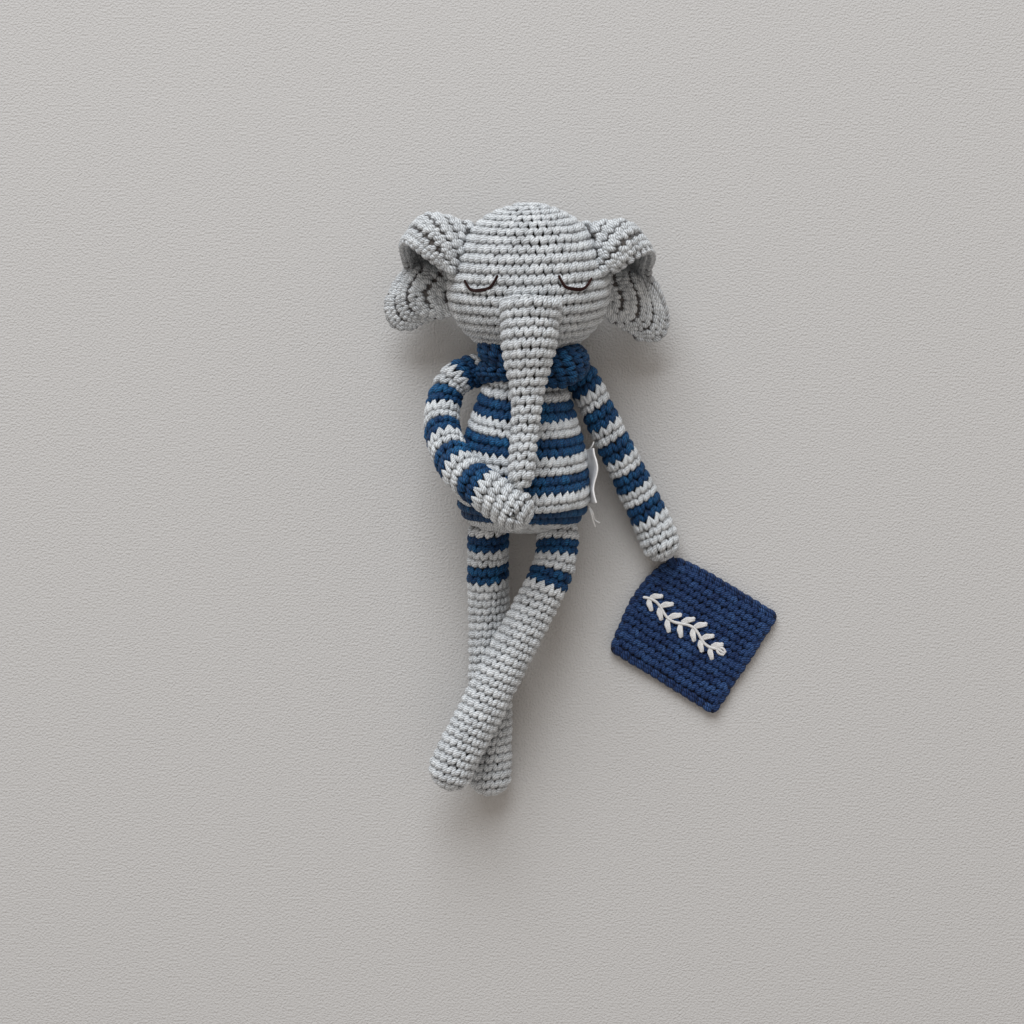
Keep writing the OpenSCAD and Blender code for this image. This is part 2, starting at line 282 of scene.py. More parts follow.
def strand_faces(n, k, s, base):
    """Faces of n closed strands of k rings of s points, the first point numbered base: side faces,
    texture places (round, along) of their corners, and end faces."""
    i = np.arange(n)[:, None, None] * k * s
    j = np.arange(k - 1)[None, :, None]
    q = np.arange(s)[None, None, :]
    low = i + j * s + base
    nxt = (q + 1) % s
    quads = np.stack([low + q, low + nxt, low + s + nxt, low + s + q], -1)
    u0, u1 = q / s + 0 * low, (q + 1) / s + 0 * low
    v0, v1 = STRAND_PACE * j + 0 * (i + q), STRAND_PACE * (j + 1) + 0 * (i + q)
    uv = np.stack([np.stack([u0, v0], -1), np.stack([u1, v0], -1),
                   np.stack([u1, v1], -1), np.stack([u0, v1], -1)], -2)
    starts = np.arange(n)[:, None] * k * s + base
    first = starts + np.arange(s)[None, ::-1]
    last = starts + (k - 1) * s + np.arange(s)[None]
    return quads.reshape(-1, 4), uv.reshape(-1, 2), [first, last]


def yarn_mesh(name, parts, material):
    """One object of closed strands. parts are what lay() and thread() return."""
    verts, quads, caps, uvs, tone, crease_shade = [], [], [], [], [], []
    base = 0
    for rings, tones, crease_shades in parts:
        for ring, t, depth in zip(rings, tones, crease_shades):
            n, k, sides, _ = ring.shape
            if n == 0:
                continue
            faces, places, ends = strand_faces(n, k, sides, base)
            verts.append(ring.reshape(-1, 3))
            quads.append(faces)
            uvs.append(places)
            caps += ends
            tone.append(np.repeat(t, k * sides))
            crease_shade.append(np.tile(np.repeat(depth, sides), n))
            base += n * k * sides
    quads = np.concatenate(quads)
    caps = np.concatenate(caps)
    mesh = bpy.data.meshes.new(name)
    mesh.vertices.add(base)
    mesh.vertices.foreach_set("co", (np.concatenate(verts) * MM).ravel())
    loops = np.concatenate([quads.ravel(), caps.ravel()])
    mesh.loops.add(len(loops))
    mesh.loops.foreach_set("vertex_index", loops)
    starts = np.concatenate([np.arange(len(quads)) * 4,
                             len(quads) * 4 + np.arange(len(caps)) * caps.shape[1]])
    mesh.polygons.add(len(starts))
    mesh.polygons.foreach_set("loop_start", starts)
    mesh.polygons.foreach_set("use_smooth", np.ones(len(starts), bool))
    mesh.update(calc_edges=True)
    layer = mesh.uv_layers.new(name="yarn")
    uv = np.concatenate(uvs + [np.zeros((caps.size, 2))])
    layer.data.foreach_set("uv", uv.ravel())
    # tone is the yarn's own random tone; the other attribute is the amount of painted shade in the creases
    for key, values in (("tone", tone), ("crease_shade", crease_shade)):
        attribute = mesh.attributes.new(key, "FLOAT", "POINT")
        attribute.data.foreach_set("value", np.concatenate(values).astype(np.float32))
    return link(name, mesh, material)


def link(name, mesh, material):
    mesh.materials.append(material)
    obj = bpy.data.objects.new(name, mesh)
    bpy.context.scene.collection.objects.link(obj)
    return obj


def grid_mesh(name, rows, material):
    """A closed mesh through rings of points, its two ends capped."""
    n, s, _ = rows.shape
    faces = []
    for i in range(n - 1):
        for j in range(s):
            k = (j + 1) % s
            faces.append((i * s + j, i * s + k, (i + 1) * s + k, (i + 1) * s + j))
    faces.append(tuple(range(s - 1, -1, -1)))
    faces.append(tuple((n - 1) * s + j for j in range(s)))
    mesh = bpy.data.meshes.new(name)
    mesh.from_pydata((rows.reshape(-1, 3) * MM).tolist(), [], faces)
    mesh.polygons.foreach_set("use_smooth", np.ones(len(faces), bool))
    mesh.update()
    return link(name, mesh, material)


def inner_form(name, tube, inset, material, rings=70, sides=40):
    """The stuffed form inside a crocheted tube."""
    b = np.linspace(0, tube.length, rings)[:, None] + np.zeros((1, sides))
    a = np.zeros((rings, 1)) + np.arange(sides)[None] / sides
    return grid_mesh(name, tube.point(a, b, np.full(a.shape, -inset)), material)


def sheet_form(name, patch, half, material, along=80, across=40):
    """A thin closed sheet along a patch."""
    a, b = np.meshgrid(np.linspace(0.01, 0.99, along), np.linspace(0.02, 0.985, across))
    top = patch.point(a, b, np.full(a.shape, half))
    low = patch.point(a, b, np.full(a.shape, -half))
    verts = np.concatenate([top.reshape(-1, 3), low.reshape(-1, 3)])
    size = along * across
    faces = []
    for i in range(across - 1):
        for j in range(along - 1):
            q = i * along + j
            faces.append((q, q + 1, q + along + 1, q + along))
            faces.append((size + q, size + q + along, size + q + along + 1, size + q + 1))
    border = ([(0, j) for j in range(along)] + [(i, along - 1) for i in range(1, across)]
              + [(across - 1, j) for j in range(along - 2, -1, -1)]
              + [(i, 0) for i in range(across - 2, 0, -1)])
    ring = [i * along + j for i, j in border]
    for p, q in zip(ring, ring[1:] + ring[:1]):
        faces.append((q, p, size + p, size + q))
    mesh = bpy.data.meshes.new(name)
    mesh.from_pydata((verts * MM).tolist(), [], faces)
    mesh.polygons.foreach_set("use_smooth", np.ones(len(faces), bool))
    mesh.update()
    return link(name, mesh, material)


# ---- materials -----------------------------------------------------------------------------
def srgb(r, g, b):
    """Linear colour from 0 to 255 screen values."""
    return tuple(((c / 255 + 0.055) / 1.055) ** 2.4 for c in (r, g, b)) + (1,)


class Nodes:
    """A short way to write a material's nodes."""

    def __init__(self, name):
        self.material = bpy.data.materials.new(name)
        self.material.use_nodes = True
        self.tree = self.material.node_tree
        self.shader = self.tree.nodes["Principled BSDF"]

    def add(self, kind, **values):
        node = self.tree.nodes.new(kind)
        for key, value in values.items():
            setattr(node, key, value)
        return node

    def join(self, source, target):
        self.tree.links.new(source, target)

    def math(self, operation, x, y=0.0, z=0.0):
        node = self.add("ShaderNodeMath", operation=operation)
        for socket, value in zip(node.inputs, (x, y, z)):
            if hasattr(value, "is_linked"):
                self.join(value, socket)
            else:
                socket.default_value = value
        return node.outputs[0]

    def mix(self, factor, a, b):
        node = self.add("ShaderNodeMix", data_type="RGBA")
        self.join(factor, node.inputs[0])
        for socket, value in ((node.inputs[6], a), (node.inputs[7], b)):
            if hasattr(value, "is_linked"):
                self.join(value, socket)
            else:
                socket.default_value = value
        return node.outputs[2]


def yarn_material(name, dark, base, light, painted_shade_colour, sheen=0.2, shine=0.4, plies=4):
    """Plied cotton: twisted plies with fine fibres along them, each strand a little lighter or darker
    at random. The colour is painted shade in the grooves between plies and painted highlight on their
    crowns, and painted shade again where a strand dips between its neighbours."""
    n = Nodes(name)
    uv = n.add("ShaderNodeUVMap", uv_map="yarn")
    part = n.add("ShaderNodeSeparateXYZ")
    n.join(uv.outputs[0], part.inputs[0])
    u, v = part.outputs[0], part.outputs[1]
    tone = n.add("ShaderNodeAttribute", attribute_name="tone")
    start = n.math("MULTIPLY_ADD", tone.outputs["Fac"], 3.7, v)
    twist = n.math("ADD", n.math("MULTIPLY", u, plies), n.math("MULTIPLY", start, 1.9))
    ply = n.math("ABSOLUTE", n.math("SINE", n.math("MULTIPLY", twist, math.pi)))
    ply = n.math("POWER", ply, 0.5)
    fibre_place = n.add("ShaderNodeCombineXYZ")
    n.join(n.math("MULTIPLY", twist, 4.0), fibre_place.inputs[0])
    n.join(n.math("MULTIPLY", start, 0.9), fibre_place.inputs[1])
    fibre = n.add("ShaderNodeTexNoise")
    fibre.inputs["Scale"].default_value = 3.4
    fibre.inputs["Detail"].default_value = 4.0
    n.join(fibre_place.outputs[0], fibre.inputs["Vector"])
    # The colour follows this height: darker in the grooves between plies and fibres, painted shade, and
    # lighter on their crowns, painted highlight. blotch is the yarn's own random tone per strand.
    height = n.math("ADD", n.math("MULTIPLY", ply, 0.62), n.math("MULTIPLY", fibre.outputs[0], 0.62))
    blotch = n.math("MULTIPLY_ADD", tone.outputs["Fac"], 0.06, 0.42)
    level = n.math("ADD", blotch, n.math("MULTIPLY", n.math("SUBTRACT", height, 0.8), 1.25))
    ramp = n.add("ShaderNodeValToRGB")
    ramp.color_ramp.elements[0].color = dark
    ramp.color_ramp.elements[1].color = light
    middle = ramp.color_ramp.elements.new(0.45)
    middle.color = base
    n.join(level, ramp.inputs[0])
    # Painted shade: the yarn is mixed towards a dark colour where it dips between its neighbours, whatever
    # the light
    crease_shade = n.add("ShaderNodeAttribute", attribute_name="crease_shade")
    shade = n.math("MULTIPLY", crease_shade.outputs["Fac"], 0.95)
    n.join(n.mix(shade, ramp.outputs[0], painted_shade_colour), n.shader.inputs["Base Color"])
    lump = n.add("ShaderNodeBump")
    lump.inputs["Strength"].default_value = 1.0
    lump.inputs["Distance"].default_value = 0.00028
    n.join(height, lump.inputs["Height"])
    n.join(lump.outputs[0], n.shader.inputs["Normal"])
    n.shader.inputs["Roughness"].default_value = 0.5
    n.shader.inputs["Specular IOR Level"].default_value = shine
    n.shader.inputs["Sheen Weight"].default_value = sheen
    n.shader.inputs["Sheen Roughness"].default_value = 0.5
    return n.material


def cloth_material(name, low, high, scale=900.0, rough=0.9, bump=0.4):
    """Painted shade seen through the gaps between stitches, mottled with a fine noise, or plain woven ribbon
    at a finer scale.
    """
    n = Nodes(name)
    place = n.add("ShaderNodeTexCoord")
    noise = n.add("ShaderNodeTexNoise")
    noise.inputs["Scale"].default_value = scale
    noise.inputs["Detail"].default_value = 4.0
    n.join(place.outputs["Object"], noise.inputs["Vector"])
    n.join(n.mix(noise.outputs[0], low, high), n.shader.inputs["Base Color"])
    lump = n.add("ShaderNodeBump")
    lump.inputs["Strength"].default_value = bump
    lump.inputs["Distance"].default_value = 0.0002
    n.join(noise.outputs[0], lump.inputs["Height"])
    n.join(lump.outputs[0], n.shader.inputs["Normal"])
    n.shader.inputs["Roughness"].default_value = rough
    return n.material


# The fourth colour of each yarn is the painted shade of its creases
grey_yarn = yarn_material("grey_yarn", srgb(128, 128, 129), srgb(208, 214, 219), srgb(252, 254, 255),
                          srgb(68, 66, 68))
blue_yarn = yarn_material("blue_yarn", srgb(0, 18, 44), srgb(4, 56, 100), srgb(44, 126, 178),
                          srgb(0, 8, 28), 0.03, 0.22)
navy_yarn = yarn_material("navy_yarn", srgb(4, 18, 48), srgb(22, 50, 96), srgb(72, 112, 166),
                          srgb(0, 8, 32), 0.03, 0.22)
white_yarn = yarn_material("white_thread", srgb(206, 206, 206), srgb(242, 242, 242), srgb(252, 252, 252),
                           srgb(150, 150, 150))
eye_yarn = yarn_material("eye_thread", srgb(14, 3, 2), srgb(40, 12, 10), srgb(72, 30, 26),
                         srgb(10, 2, 2), 0.0, 0.2)
# The inner forms and sheets are coloured dark to paint the shade seen through the gaps between stitches
grey_inside_shade = cloth_material("grey_inside_shade", srgb(46, 42, 40), srgb(72, 67, 64))
ear_inside_shade = cloth_material("ear_inside_shade", srgb(78, 74, 72), srgb(104, 100, 97))
blue_inside_shade = cloth_material("blue_inside_shade", srgb(0, 8, 26), srgb(4, 20, 46))
navy_inside_shade = cloth_material("navy_inside_shade", srgb(0, 6, 26), srgb(6, 16, 42))
ribbon = cloth_material("label_ribbon", srgb(226, 226, 228), srgb(246, 246, 246), 2500.0, 0.5, 0.2)


# ---- crocheted tubes -----------------------------------------------------------------------
def rounds(tube, edges, colours, helix=1):
    """Stitches of every round between the edges: {(colour, peaked): (a, b, wide, tall)}. The first grey
    round after a blue one is peaked. helix is 1 or -1 for rounds that climb one row a turn, 0 for rings."""
    found = {}
    start = 0.0
    for k, colour in enumerate(colours):
        top, low = edges[k], edges[k + 1]
        tall = low - top
        mid = 0.5 * (top + low)
        count = max(5, int(round(tube.turn_width(mid) / STITCH_W)))
        start += LEAN / count
        a = (np.arange(count) + 0.5) / count
        climb = {1: a, -1: 1 - a, 0: 0 * a}[helix]
        b = top + tall * climb
        peaked = k > 0 and colour == "grey" and colours[k - 1] != colour
        found.setdefault((colour, peaked), []).append(
            np.stack([a + start, b, np.full(count, 1 / count), np.full(count, tall)]))
    return {key: np.concatenate(parts, 1) for key, parts in found.items()}


def lay_rounds(tube, edges, colours, helix=1):
    """The yarn of a tube's rounds for each colour."""
    parts = {}
    for (colour, peaked), stitches in rounds(tube, edges, colours, helix=helix).items():
        legs = PEAKED if peaked else SINGLE
        parts.setdefault(colour, []).append(lay(tube, *stitches, legs))
    return parts


YARNS = {"grey": grey_yarn, "blue": blue_yarn}


def finish_piece(obj, body, slot, *nodes):
    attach(obj, body)
    if nodes:
        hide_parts(*nodes)
    return obj


def crochet_tube(name, tube, edges, colours, body, nodes, filling, inside, helix=1, inset=1.1):
    """The yarn of a tube in one piece for each colour, and the stuffed form inside it."""
    for colour, parts in lay_rounds(tube, edges, colours, helix).items():
        obj = yarn_mesh(name + "_" + colour + "_stitches", parts, YARNS[colour])
        finish_piece(obj, body, colour + "_yarn", *nodes.get(colour, []))
    form = inner_form(name + "_stuffed_form", tube, inset * YARN, inside)
    finish_piece(form, body, "filling", filling)


def striped(edges_mm, colours, row=ROW):
    """Row edges and colours of stripes: each stripe is cut into whole rows."""
    edges, found = [edges_mm[0]], []
    for top, low, colour in zip(edges_mm, edges_mm[1:], colours):
        count = max(1, int(round((low - top) / row)))
        edges += [top + (low - top) * (k + 1) / count for k in range(count)]
        found += [colour] * count
    return edges, found


def settle(points, floor=1.0, soft=1.2):
    """Press whatever is below the floor level flat onto it."""
    z = points[..., 2] - floor
    points[..., 2] = floor + 0.5 * (z + np.sqrt(z * z + soft * soft))
    return points


# ---- head ----------------------------------------------------------------------------------
head_low, head_high = node_box("head_cover")
head_middle = 0.5 * (head_low + head_high)
CROWN_GAP = 1.2      # how far the crown's stitches stay below the head's box
HEAD = np.array([head_middle[0], head_middle[1] - CROWN_GAP, JOINT["neck_turn"][2]])
HEAD_HALF = 0.5 * (head_high[1] - head_low[1]) - CROWN_GAP
HEAD_R = 0.5 * (head_high[0] - head_low[0])
HEAD_TILT = 0.27     # the crown leans towards the viewer, so the rounds dip on the face
HEAD_UP = np.array([0, math.cos(HEAD_TILT), math.sin(HEAD_TILT)])

# Distance down from the crown, and radius, as shares of the head's half length and radius
HEAD_OUTLINE = [(0.0, 0.0), (0.03, 0.24), (0.14, 0.5), (0.33, 0.73), (0.56, 0.88), (0.79, 0.96),
                (1.0, 0.995), (1.15, 1.0), (1.35, 0.96), (1.55, 0.86), (1.74, 0.68), (1.87, 0.46),
                (1.95, 0.22), (1.97, 0.0)]
head_tube = Tube(
    [HEAD + HEAD_HALF * HEAD_UP, HEAD, HEAD - HEAD_HALF * HEAD_UP],
    [(s * HEAD_HALF, max(r * HEAD_R - INSET, 0)) for s, r in HEAD_OUTLINE],
    (0, 0, -1), warp=settle)


def face_point(x, y, h):
    """Point over the face at a place in plan, lifted off the surface by h."""
    turn, b = 0.5, 0.5 * head_tube.length
    for _ in range(20):
        q = head_tube.point(np.array(turn), np.array(b), np.array(h))
        b -= 0.8 * (y - q[1])
        turn -= 0.8 * (x - q[0]) / (TAU * HEAD_R)
    return q


def head_side(side, y, forward, h):
    """Point on the side of the head at a height y, a number of degrees forward of the side."""
    r = HEAD_R * math.sqrt(1 - ((y - HEAD[1]) / (HEAD_HALF + 2)) ** 2) + h
    turn = math.radians(forward)
    return HEAD + [side * r * math.cos(turn), y - HEAD[1], r * math.sin(turn)]


def make_head():
    rows = int(round(head_tube.length / 3.85))
    edges = np.linspace(0.5, head_tube.length - 0.5, rows + 1)
    crochet_tube("head", head_tube, edges, ["grey"] * rows, "head", {"grey": ["head_cover"]},
                 "head_filling", grey_inside_shade, inset=0.9)
    # Two closed eyes: a bow of doubled dark thread
    for side, name, x, y in ((1, "left", 17.9, 64.9), (-1, "right", -17.8, 64.6)):
        half = 6.4
        bow = [(-1, 0.0), (-0.82, -2.2), (-0.55, -4.2), (0.0, -4.7), (0.5, -4.1), (0.8, -2.0), (1, 0.4)]
        parts = []
        for strand in (-0.22, 0.22):
            line = []
            for u, v in bow:
                apart = strand * (1.25 - abs(u))
                line.append(face_point(x + half * u, y - 0.5 + v + apart, 1.95 * YARN))
            parts.append(thread(line, 0.46))
        obj = yarn_mesh("eye_" + name + "_thread", parts, eye_yarn)
        finish_piece(obj, "head", "eye_thread", "eye_stitching_" + name)


# ---- trunk ---------------------------------------------------------------------------------
def make_trunk():
    start = JOINT["trunk_lift"]
    path = [start + q for q in np.array([
        (0, 0, 1.2), (-0.4, -7.5, 1.3), (-0.8, -16.5, 0.9), (-1.1, -25.5, 0.6), (-1.6, -35.5, 1),
        (-2.4, -45.5, 1.6), (-3, -52.5, 2.3), (-3.4, -57.7, 3)])]
    # Distance from the joint, and radius: a flat top sewn on the face, the tube, and a round tip
    top = [(-7.4, 0), (-7.3, 6.8), (-7.0, 9.4), (-5.4, 10.3)]
    length = [(-1.5, 11.3), (6, 11), (12, 10.2), (20, 8.2), (27, 6.7), (34, 5.9), (42, 5.5), (54, 5.5),
              (59, 5.2), (61.4, 3.6)]
    tip = [(62.2, 1.4), (62.4, 0)]
    tube = Tube(path, top + [(s, r - INSET) for s, r in length] + tip, (0, 0, -1))
    rows = int(round(tube.length / 3.75))
    edges = np.linspace(0.6, tube.length - 0.6, rows + 1)
    crochet_tube("trunk", tube, edges, ["grey"] * rows, "trunk", {"grey": ["trunk_cover"]},
                 "trunk_filling", grey_inside_shade)


# ---- body and collar -----------------------------------------------------------------------
torso_low, torso_high = node_box("torso_blue_rounds")
BODY_AXIS = 0.5 * (torso_low[0] + torso_high[0]) - 1.4
BODY_Z = torso_high[2] - 0.5 * (torso_high[0] - torso_low[0])
BODY_NOD = 0.24      # how far the rounds slope towards the feet in front


def body_warp(p):
    """Slope the rounds towards the feet in front, and thin the body to a wedge between the legs."""
    thin = np.clip((-16 - p[..., 1]) / 15, 0, 1)
    thin = thin * thin * (3 - 2 * thin)
    p[..., 2] = BODY_Z + (p[..., 2] - BODY_Z) * (1 - 0.45 * thin) - 3.5 * thin
    p[..., 1] -= BODY_NOD * (p[..., 2] - BODY_Z) * (1 - 0.75 * thin)
    return settle(p)


def make_body():
    neck = 36.0
    # Distance down from the neck, and radius
    outline = [(0, 12), (5, 14.6), (10, 16.9), (18, 20), (26, 22.6), (34, 24.9), (44, 26.3), (53, 26.7),
               (58.5, 26), (63, 23.4), (65.6, 19.5), (66.8, 13), (67.2, 6), (67.3, 0)]
    axis = [(BODY_AXIS + 0.6, neck, BODY_Z), (BODY_AXIS, 0, BODY_Z), (BODY_AXIS - 0.2, neck - 68, BODY_Z)]
    tube = Tube(axis, [(s, max(r - INSET, 0)) for s, r in outline], (0, 0, -1), warp=body_warp)
    stripes = [36, 31.4, 23.6, 15.9, 9.9, 3.1, -3.6, -10.6, -17.9, -26.2]
    marks = [tube.at_distance(neck - y) for y in stripes] + [tube.length - 0.6]
    edges, colours = striped(marks, ["blue", "grey"] * 5)
    crochet_tube("torso", tube, edges, colours, "torso",
                 {"blue": ["torso_blue_rounds"], "grey": ["torso_grey_rounds"]},
                 "torso_filling", grey_inside_shade, helix=-1)


LAPEL_LEFT = [(3, 29, 41.5), (9, 30.5, 42), (15.5, 32.5, 40), (19.8, 35.5, 34), (19, 37.5, 25), (12, 38, 15)]
LAPEL_RIGHT = [(-2.5, 35, 42.5), (-8.5, 37.3, 42), (-13, 40, 39), (-15.4, 41.5, 33.5), (-15, 41.5, 25),
               (-12, 38, 15)]


def make_lapel(name, points, r):
    """One rolled half of the collar, from the throat round the side of the neck; r is its radius."""
    length = run_length(smooth(points, 100))[-1]
    outline = [(-4, 0), (-3.4, 2.6), (0, 5), (7, r), (15, r + 0.4), (24, r - 0.9), (length - 6, 4.4),
               (length, 3.0), (length + 1.5, 0)]
    tube = Tube(points, [(s, max(q - INSET, 0)) for s, q in outline], (0, 0.2, -1), widths=(0.66, 1))
    rows = int(round(tube.length / ROW))
    edges = np.linspace(0.5, tube.length - 0.5, rows + 1)
    parts = lay_rounds(tube, edges, ["blue"] * rows)["blue"]
    obj = yarn_mesh("collar_" + name + "_stitches", parts, blue_yarn)
    finish_piece(obj, "torso", "blue_yarn", "collar_lapel_" + name)
    form = inner_form("collar_" + name + "_stuffed_form", tube, 0.55 * YARN, blue_inside_shade)
    finish_piece(form, "torso", "blue_yarn")


def make_collar_band():
    """The ring of rounds about the neck, under the two lapels."""
    low, high = node_box("collar_band")
    middle = 0.5 * (low + high)
    r = 0.5 * (high[0] - low[0]) - 3.6
    ring = [middle + [r * math.sin(t), 0, -r * math.cos(t)] for t in np.linspace(0, TAU, 25)]
    tube = Tube(ring, [(0, 3.2), (run_length(smooth(ring, 100))[-1], 3.2)], (0, 1, 0))
    rows = int(tube.length / ROW)
    edges = np.linspace(0, tube.length, rows + 1)
    parts = lay_rounds(tube, edges, ["blue"] * rows, helix=0)["blue"]
    obj = yarn_mesh("collar_band_stitches", parts, blue_yarn)
    finish_piece(obj, "torso", "blue_yarn", "collar_band")


def make_collar():
    make_lapel("left", LAPEL_LEFT, 7.4)
    make_lapel("right", LAPEL_RIGHT, 6.3)
    make_collar_band()


# ---- arms and legs -------------------------------------------------------------------------
ARM_LEFT = [(0, 0, 0), (5.3, -10.5, -2), (11.2, -22.3, -5), (17.7, -34.7, -9), (24.1, -47.4, -12),
            (30.3, -60.1, -13.5), (32.8, -66.6, -13.9)]
ARM_RIGHT = [(0, 0, 0), (-6, -2.5, 1.5), (-10.5, -7.5, 2), (-12.6, -14.9, 4), (-12.8, -23, 8),
             (-10.6, -30.4, 15), (-6.8, -37.9, 23.5), (-0.6, -44.5, 29.9), (7.2, -50.2, 34.7),
             (16, -56.2, 36.7)]
LEG_LEFT = [(0, 0, 0), (-1.7, -12.2, 1.5), (-7, -23.9, 3.2), (-13.9, -37.2, 4.6), (-20.8, -49.9, 5.4),
            (-27, -61.9, 5.7), (-33.3, -74.4, 5.8), (-39.3, -85.6, 5.8), (-42.8, -93.4, 5.7)]
LEG_RIGHT = [(0, 0, 0), (-0.3, -10.5, -3), (-0.1, -22.5, -6.5), (0.1, -34.5, -8.5), (0.3, -48.5, -9),
             (0.5, -66.5, -9), (0.4, -84.5, -9), (0.3, -99.3, -9)]
LEG_ROW = 3.45       # height of a round on the legs


def limb(name, joint, points, radii, stripes, colours, row):
    """A crocheted limb with round ends. radii are (distance, radius), stripes the distances of the
    colour changes from the joint."""
    path = [JOINT[joint] + q for q in np.array(points, float)]
    length = run_length(smooth(path, 200))[-1]
    top, tip = radii[0][1] - INSET, radii[-1][1] - INSET
    outline = [(-top * math.cos(t), top * math.sin(t)) for t in np.linspace(0, 1.35, 6)]
    outline += [(s, r - INSET) for s, r in radii if 0 < s < length - 2]
    outline += [(length + 0.85 * tip * math.sin(t), tip * math.cos(t)) for t in np.linspace(0, 1.5, 7)]
    outline += [(length + 0.86 * tip, 0)]
    tube = Tube(path, outline, (0, 0, -1), warp=settle)
    marks = [0.6] + [tube.at_distance(s) for s in stripes] + [tube.length - 0.6]
    edges, found = striped(marks, colours, row)
    crochet_tube(name, tube, edges, found, name,
                 {"blue": [name + "_blue_rounds"], "grey": [name + "_grey_rounds"]},
                 name + "_filling", grey_inside_shade)


def make_limbs():
    # (distance from the joint, radius), then the distances of the colour changes
    arm = [(0, 6.9), (8, 7.0), (30, 7.3), (58, 7.9), (70, 8.2)]
    leg = [(0, 8.6), (8, 8.6), (40, 8.8), (75, 9.2), (96, 9.2)]
    arm_left_marks = [4.5, 11.5, 19.6, 26.2, 34.4, 41, 48.7, 55.2, 63]
    arm_right_marks = [-1.5, 5.5, 12.5, 20.5, 28.6, 37.6, 46.2, 54.6, 62.6, 70.8]
    leg_colours = ["grey", "blue"] * 2 + ["grey"]
    limb("arm_left", "shoulder_left", ARM_LEFT, arm, arm_left_marks, ["blue", "grey"] * 5, ROW)
    limb("arm_right", "shoulder_right", ARM_RIGHT, arm, arm_right_marks, ["grey", "blue"] * 5 + ["grey"], ROW)
    limb("leg_left", "hip_left", LEG_LEFT, leg, [0.8, 7, 13.4, 20.4], leg_colours, LEG_ROW)
    limb("leg_right", "hip_right", LEG_RIGHT, leg, [-1.9, 4.4, 10.6, 17.9], leg_colours, LEG_ROW)


# ---- sheets: ears and tag ------------------------------------------------------------------
def sheet_rows(patch, rows, trim=0.02):
    """Stitches of a sheet worked in straight rows, a little inside its first and last edges:
    (a, b, wide, tall)."""
    found = []
    a = np.linspace(0, 1, 200)
    for k in range(rows):
        tall = (1 - 2 * trim) / rows
        top = trim + k * tall
        s = run_length(patch.point(a, np.full(200, top + 0.5 * tall), np.zeros(200)))
        count = max(1, int(round(s[-1] / STITCH_W)))
        where = (np.arange(count) + 0.5) / count * s[-1]
        found.append(np.stack([np.interp(where, s, a), np.full(count, top),
                               STITCH_W * np.interp(where, s, np.gradient(a, s)), np.full(count, tall)]))
    return found


def edge_rows(patch, row, width):
    """Stitches of a sheet worked in rows side by side with its outer edge: (a, b, wide, tall)."""
    found = []
    a = np.linspace(0, 1, 240)
    across = np.stack([patch.point(a, np.full(240, b), np.zeros(240)) for b in np.linspace(0, 1, 12)])
    depth = np.linalg.norm(np.diff(across, axis=0), axis=2).sum(0)
    share = row / np.maximum(depth, 0.3 * row)
    for k in range(int(depth.max() / row) + 1):
        middle = 1 - (k + 0.5) * share
        s = run_length(patch.point(a, np.clip(middle, 0, 1), np.zeros(240)))
        count = max(1, int(round(s[-1] / width)))
        where = (np.arange(count) + 0.5) / count * s[-1]
        top = np.interp(where, s, 1 - (k + 1) * share)
        tall = np.interp(where, s, share)
        keep = top > -0.55 * tall
        found.append(np.stack([np.interp(where, s, a), top, width * np.interp(where, s, np.gradient(a, s)),
                               tall])[:, keep])
    return found


def lay_rows(patch, rows, face, lift, turned=True):
    """Yarn of rows worked to and fro: every second one upside down when turned, else leaning back."""
    parts = []
    for k, (a, b, wide, tall) in enumerate(rows):
        if k % 2 and turned:
            parts.append(lay(patch, a, b + tall, -wide, -tall, FLAT, face=face, lift=lift - 0.1))
        else:
            parts.append(lay(patch, a, b, wide, tall, FLAT, 0.25 - 0.5 * (k % 2), face=face, lift=lift))
    return parts


def edge_chain(patch, a, b, lift=0.0, yarn=YARN, link_length=3.3, out=0.6):
    """A row of chain links along a line on a patch, given by its a and b values."""
    line = patch.point(a, b, np.zeros(len(a)))
    normal = unit(patch.point(a, b, np.ones(len(a))) - line)
    along = unit(np.gradient(line, axis=0))
    side = np.cross(along, normal)
    band = Patch(np.stack([line[::6] + (out - 2) * side[::6], line[::6] + out * side[::6],
                           line[::6] + (out + 2) * side[::6]]), 160, 21)
    s = run_length(band.grid[10])
    count = int(s[-1] / link_length)
    where = (np.arange(count) + 0.5) / count * s[-1]
    place = np.interp(where, s, np.linspace(0, 1, 160))
    wide = np.full(count, 1.0 / count)
    tall = np.full(count, 0.62 * yarn)
    return [lay(band, place, np.full(count, 0.5), wide, tall, CHAIN, 0.0, yarn, f, lift) for f in (1, -1)]


def make_ear(name, side, net):
    """An ear sewn on along its inner edge, with the top folded forward into a hood."""
    body = "ear_" + name
    patch = Patch(net)
    parts = []
    for face in (1, -1):
        parts += lay_rows(patch, edge_rows(patch, 3.5, 3.3), face, 0.3)
    a = np.linspace(0.0, 1.0, 181)
    parts += edge_chain(patch, a, np.ones(181), out=side * 0.6)
    obj = yarn_mesh(body + "_stitches", parts, grey_yarn)
    form = sheet_form(body + "_sheet", patch, 0.45, ear_inside_shade)
    for piece in (obj, form):
        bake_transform(piece)
    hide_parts(body)


